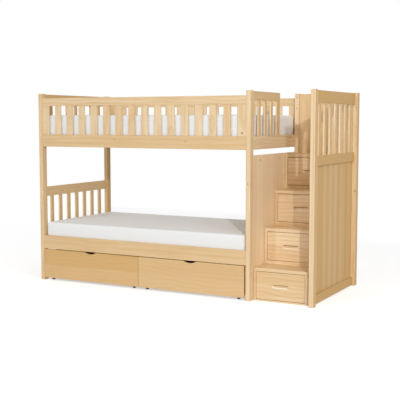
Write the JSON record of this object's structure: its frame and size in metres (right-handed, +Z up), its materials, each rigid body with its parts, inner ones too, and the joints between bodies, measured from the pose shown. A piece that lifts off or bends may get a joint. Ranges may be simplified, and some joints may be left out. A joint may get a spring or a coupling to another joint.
{
  "type": "bunk bed with storage stairs",
  "caption": "Wooden bunk bed with slatted guards and mattresses, a box staircase with a drawer under every tread at one end, and storage boxes on wheels under the lower bed.",
  "frame": {"origin": "on the floor, under the middle of the whole bed's length and depth", "axes": "+X along the bed towards the stairs, +Y from the front to the back, +Z up"},
  "size_m": [2.522, 1.046, 1.614],
  "materials": {
    "pine": "satin",
    "drawer_wood": "matte",
    "mattress_cover": "matte",
    "zinc_steel": "satin",
    "dark_steel": "satin",
    "wheel_plastic": "matte"
  },
  "bodies": {
    "bed_frame": {"post_left_front": "pine", "post_left_back": "pine", "post_mid_front": "pine", "post_mid_back": "pine", "post_right_front": "pine", "post_right_back": "pine", "left_end_top_rail": "pine", "left_end_upper_slats": "pine", "left_end_cross_rails": "pine", "headboard_top_rail": "pine", "headboard_slats": "pine", "front_guard_top_rail": "pine", "front_guard_slats": "pine", "upper_front_side_rail": "pine", "back_guard_top_rail": "pine", "back_guard_slats": "pine", "upper_back_side_rail": "pine", "lower_front_side_rail": "pine", "lower_back_side_rail": "pine", "ledger_cleats": "pine", "upper_bed_slats": "pine", "lower_bed_slats": "pine", "mid_panel": "pine", "mid_panel_batten": "pine", "mid_end_rail": "pine", "entry_guard_rail": "pine", "entry_guard_slats": "pine", "right_end_top_rail": "pine", "right_end_slats": "pine", "right_end_mid_rail": "pine", "right_end_panel": "pine", "right_end_kick_rail": "pine", "stair_back_panel": "pine", "stair_treads": "pine", "stair_side_boards": "pine", "stair_front_rails": "pine", "drawer_runners": "pine", "upper_mattress": "mattress_cover", "lower_mattress": "mattress_cover", "rail_bolts": "zinc_steel", "barrel_nuts": "zinc_steel", "panel_screws": "dark_steel"},
    "stair_drawer_1": {"stair_drawer_1_front": "pine", "stair_drawer_1_box": "drawer_wood"},
    "stair_drawer_2": {"stair_drawer_2_front": "pine", "stair_drawer_2_box": "drawer_wood"},
    "stair_drawer_3": {"stair_drawer_3_front": "pine", "stair_drawer_3_box": "drawer_wood"},
    "stair_drawer_4": {"stair_drawer_4_front": "pine", "stair_drawer_4_box": "drawer_wood"},
    "storage_box_left": {"storage_box_left_front": "pine", "storage_box_left_body": "drawer_wood", "storage_box_left_wheel_forks": "zinc_steel"},
    "storage_box_left_front_wheels": {"storage_box_left_front_wheels": "wheel_plastic"},
    "storage_box_left_back_wheels": {"storage_box_left_back_wheels": "wheel_plastic"},
    "storage_box_right": {"storage_box_right_front": "pine", "storage_box_right_body": "drawer_wood", "storage_box_right_wheel_forks": "zinc_steel"},
    "storage_box_right_front_wheels": {"storage_box_right_front_wheels": "wheel_plastic"},
    "storage_box_right_back_wheels": {"storage_box_right_back_wheels": "wheel_plastic"}
  },
  "joints": [
    {"name": "stair_drawer_1_slide", "type": "slide", "parent": "bed_frame", "child": "stair_drawer_1", "axis": [0, -1, 0], "range_m": [0, 0.2]},
    {"name": "stair_drawer_2_slide", "type": "slide", "parent": "bed_frame", "child": "stair_drawer_2", "axis": [0, -1, 0], "range_m": [0, 0.2]},
    {"name": "stair_drawer_3_slide", "type": "slide", "parent": "bed_frame", "child": "stair_drawer_3", "axis": [0, -1, 0], "range_m": [0, 0.2]},
    {"name": "stair_drawer_4_slide", "type": "slide", "parent": "bed_frame", "child": "stair_drawer_4", "axis": [0, -1, 0], "range_m": [0, 0.2]},
    {"name": "storage_box_left_slide", "type": "slide", "parent": "bed_frame", "child": "storage_box_left", "axis": [0, -1, 0], "range_m": [0, 0.7]},
    {"name": "storage_box_left_front_wheels_turn", "type": "hinge", "parent": "storage_box_left", "child": "storage_box_left_front_wheels", "pos_m": [-0.74225, -0.476, 0.025], "axis": [1, 0, 0], "range_deg": [0, 1604.3]},
    {"name": "storage_box_left_back_wheels_turn", "type": "hinge", "parent": "storage_box_left", "child": "storage_box_left_back_wheels", "pos_m": [-0.74225, 0.314, 0.025], "axis": [1, 0, 0], "range_deg": [0, 1604.3]},
    {"name": "storage_box_right_slide", "type": "slide", "parent": "bed_frame", "child": "storage_box_right", "axis": [0, -1, 0], "range_m": [0, 0.7]},
    {"name": "storage_box_right_front_wheels_turn", "type": "hinge", "parent": "storage_box_right", "child": "storage_box_right_front_wheels", "pos_m": [0.21625, -0.476, 0.025], "axis": [1, 0, 0], "range_deg": [0, 1604.3]},
    {"name": "storage_box_right_back_wheels_turn", "type": "hinge", "parent": "storage_box_right", "child": "storage_box_right_back_wheels", "pos_m": [0.21625, 0.314, 0.025], "axis": [1, 0, 0], "range_deg": [0, 1604.3]}
  ],
  "couplings": [
    {"joint": "storage_box_left_front_wheels_turn", "follows": "storage_box_left_slide", "rad_per_m": 40},
    {"joint": "storage_box_left_back_wheels_turn", "follows": "storage_box_left_slide", "rad_per_m": 40},
    {"joint": "storage_box_right_front_wheels_turn", "follows": "storage_box_right_slide", "rad_per_m": 40},
    {"joint": "storage_box_right_back_wheels_turn", "follows": "storage_box_right_slide", "rad_per_m": 40}
  ]
}
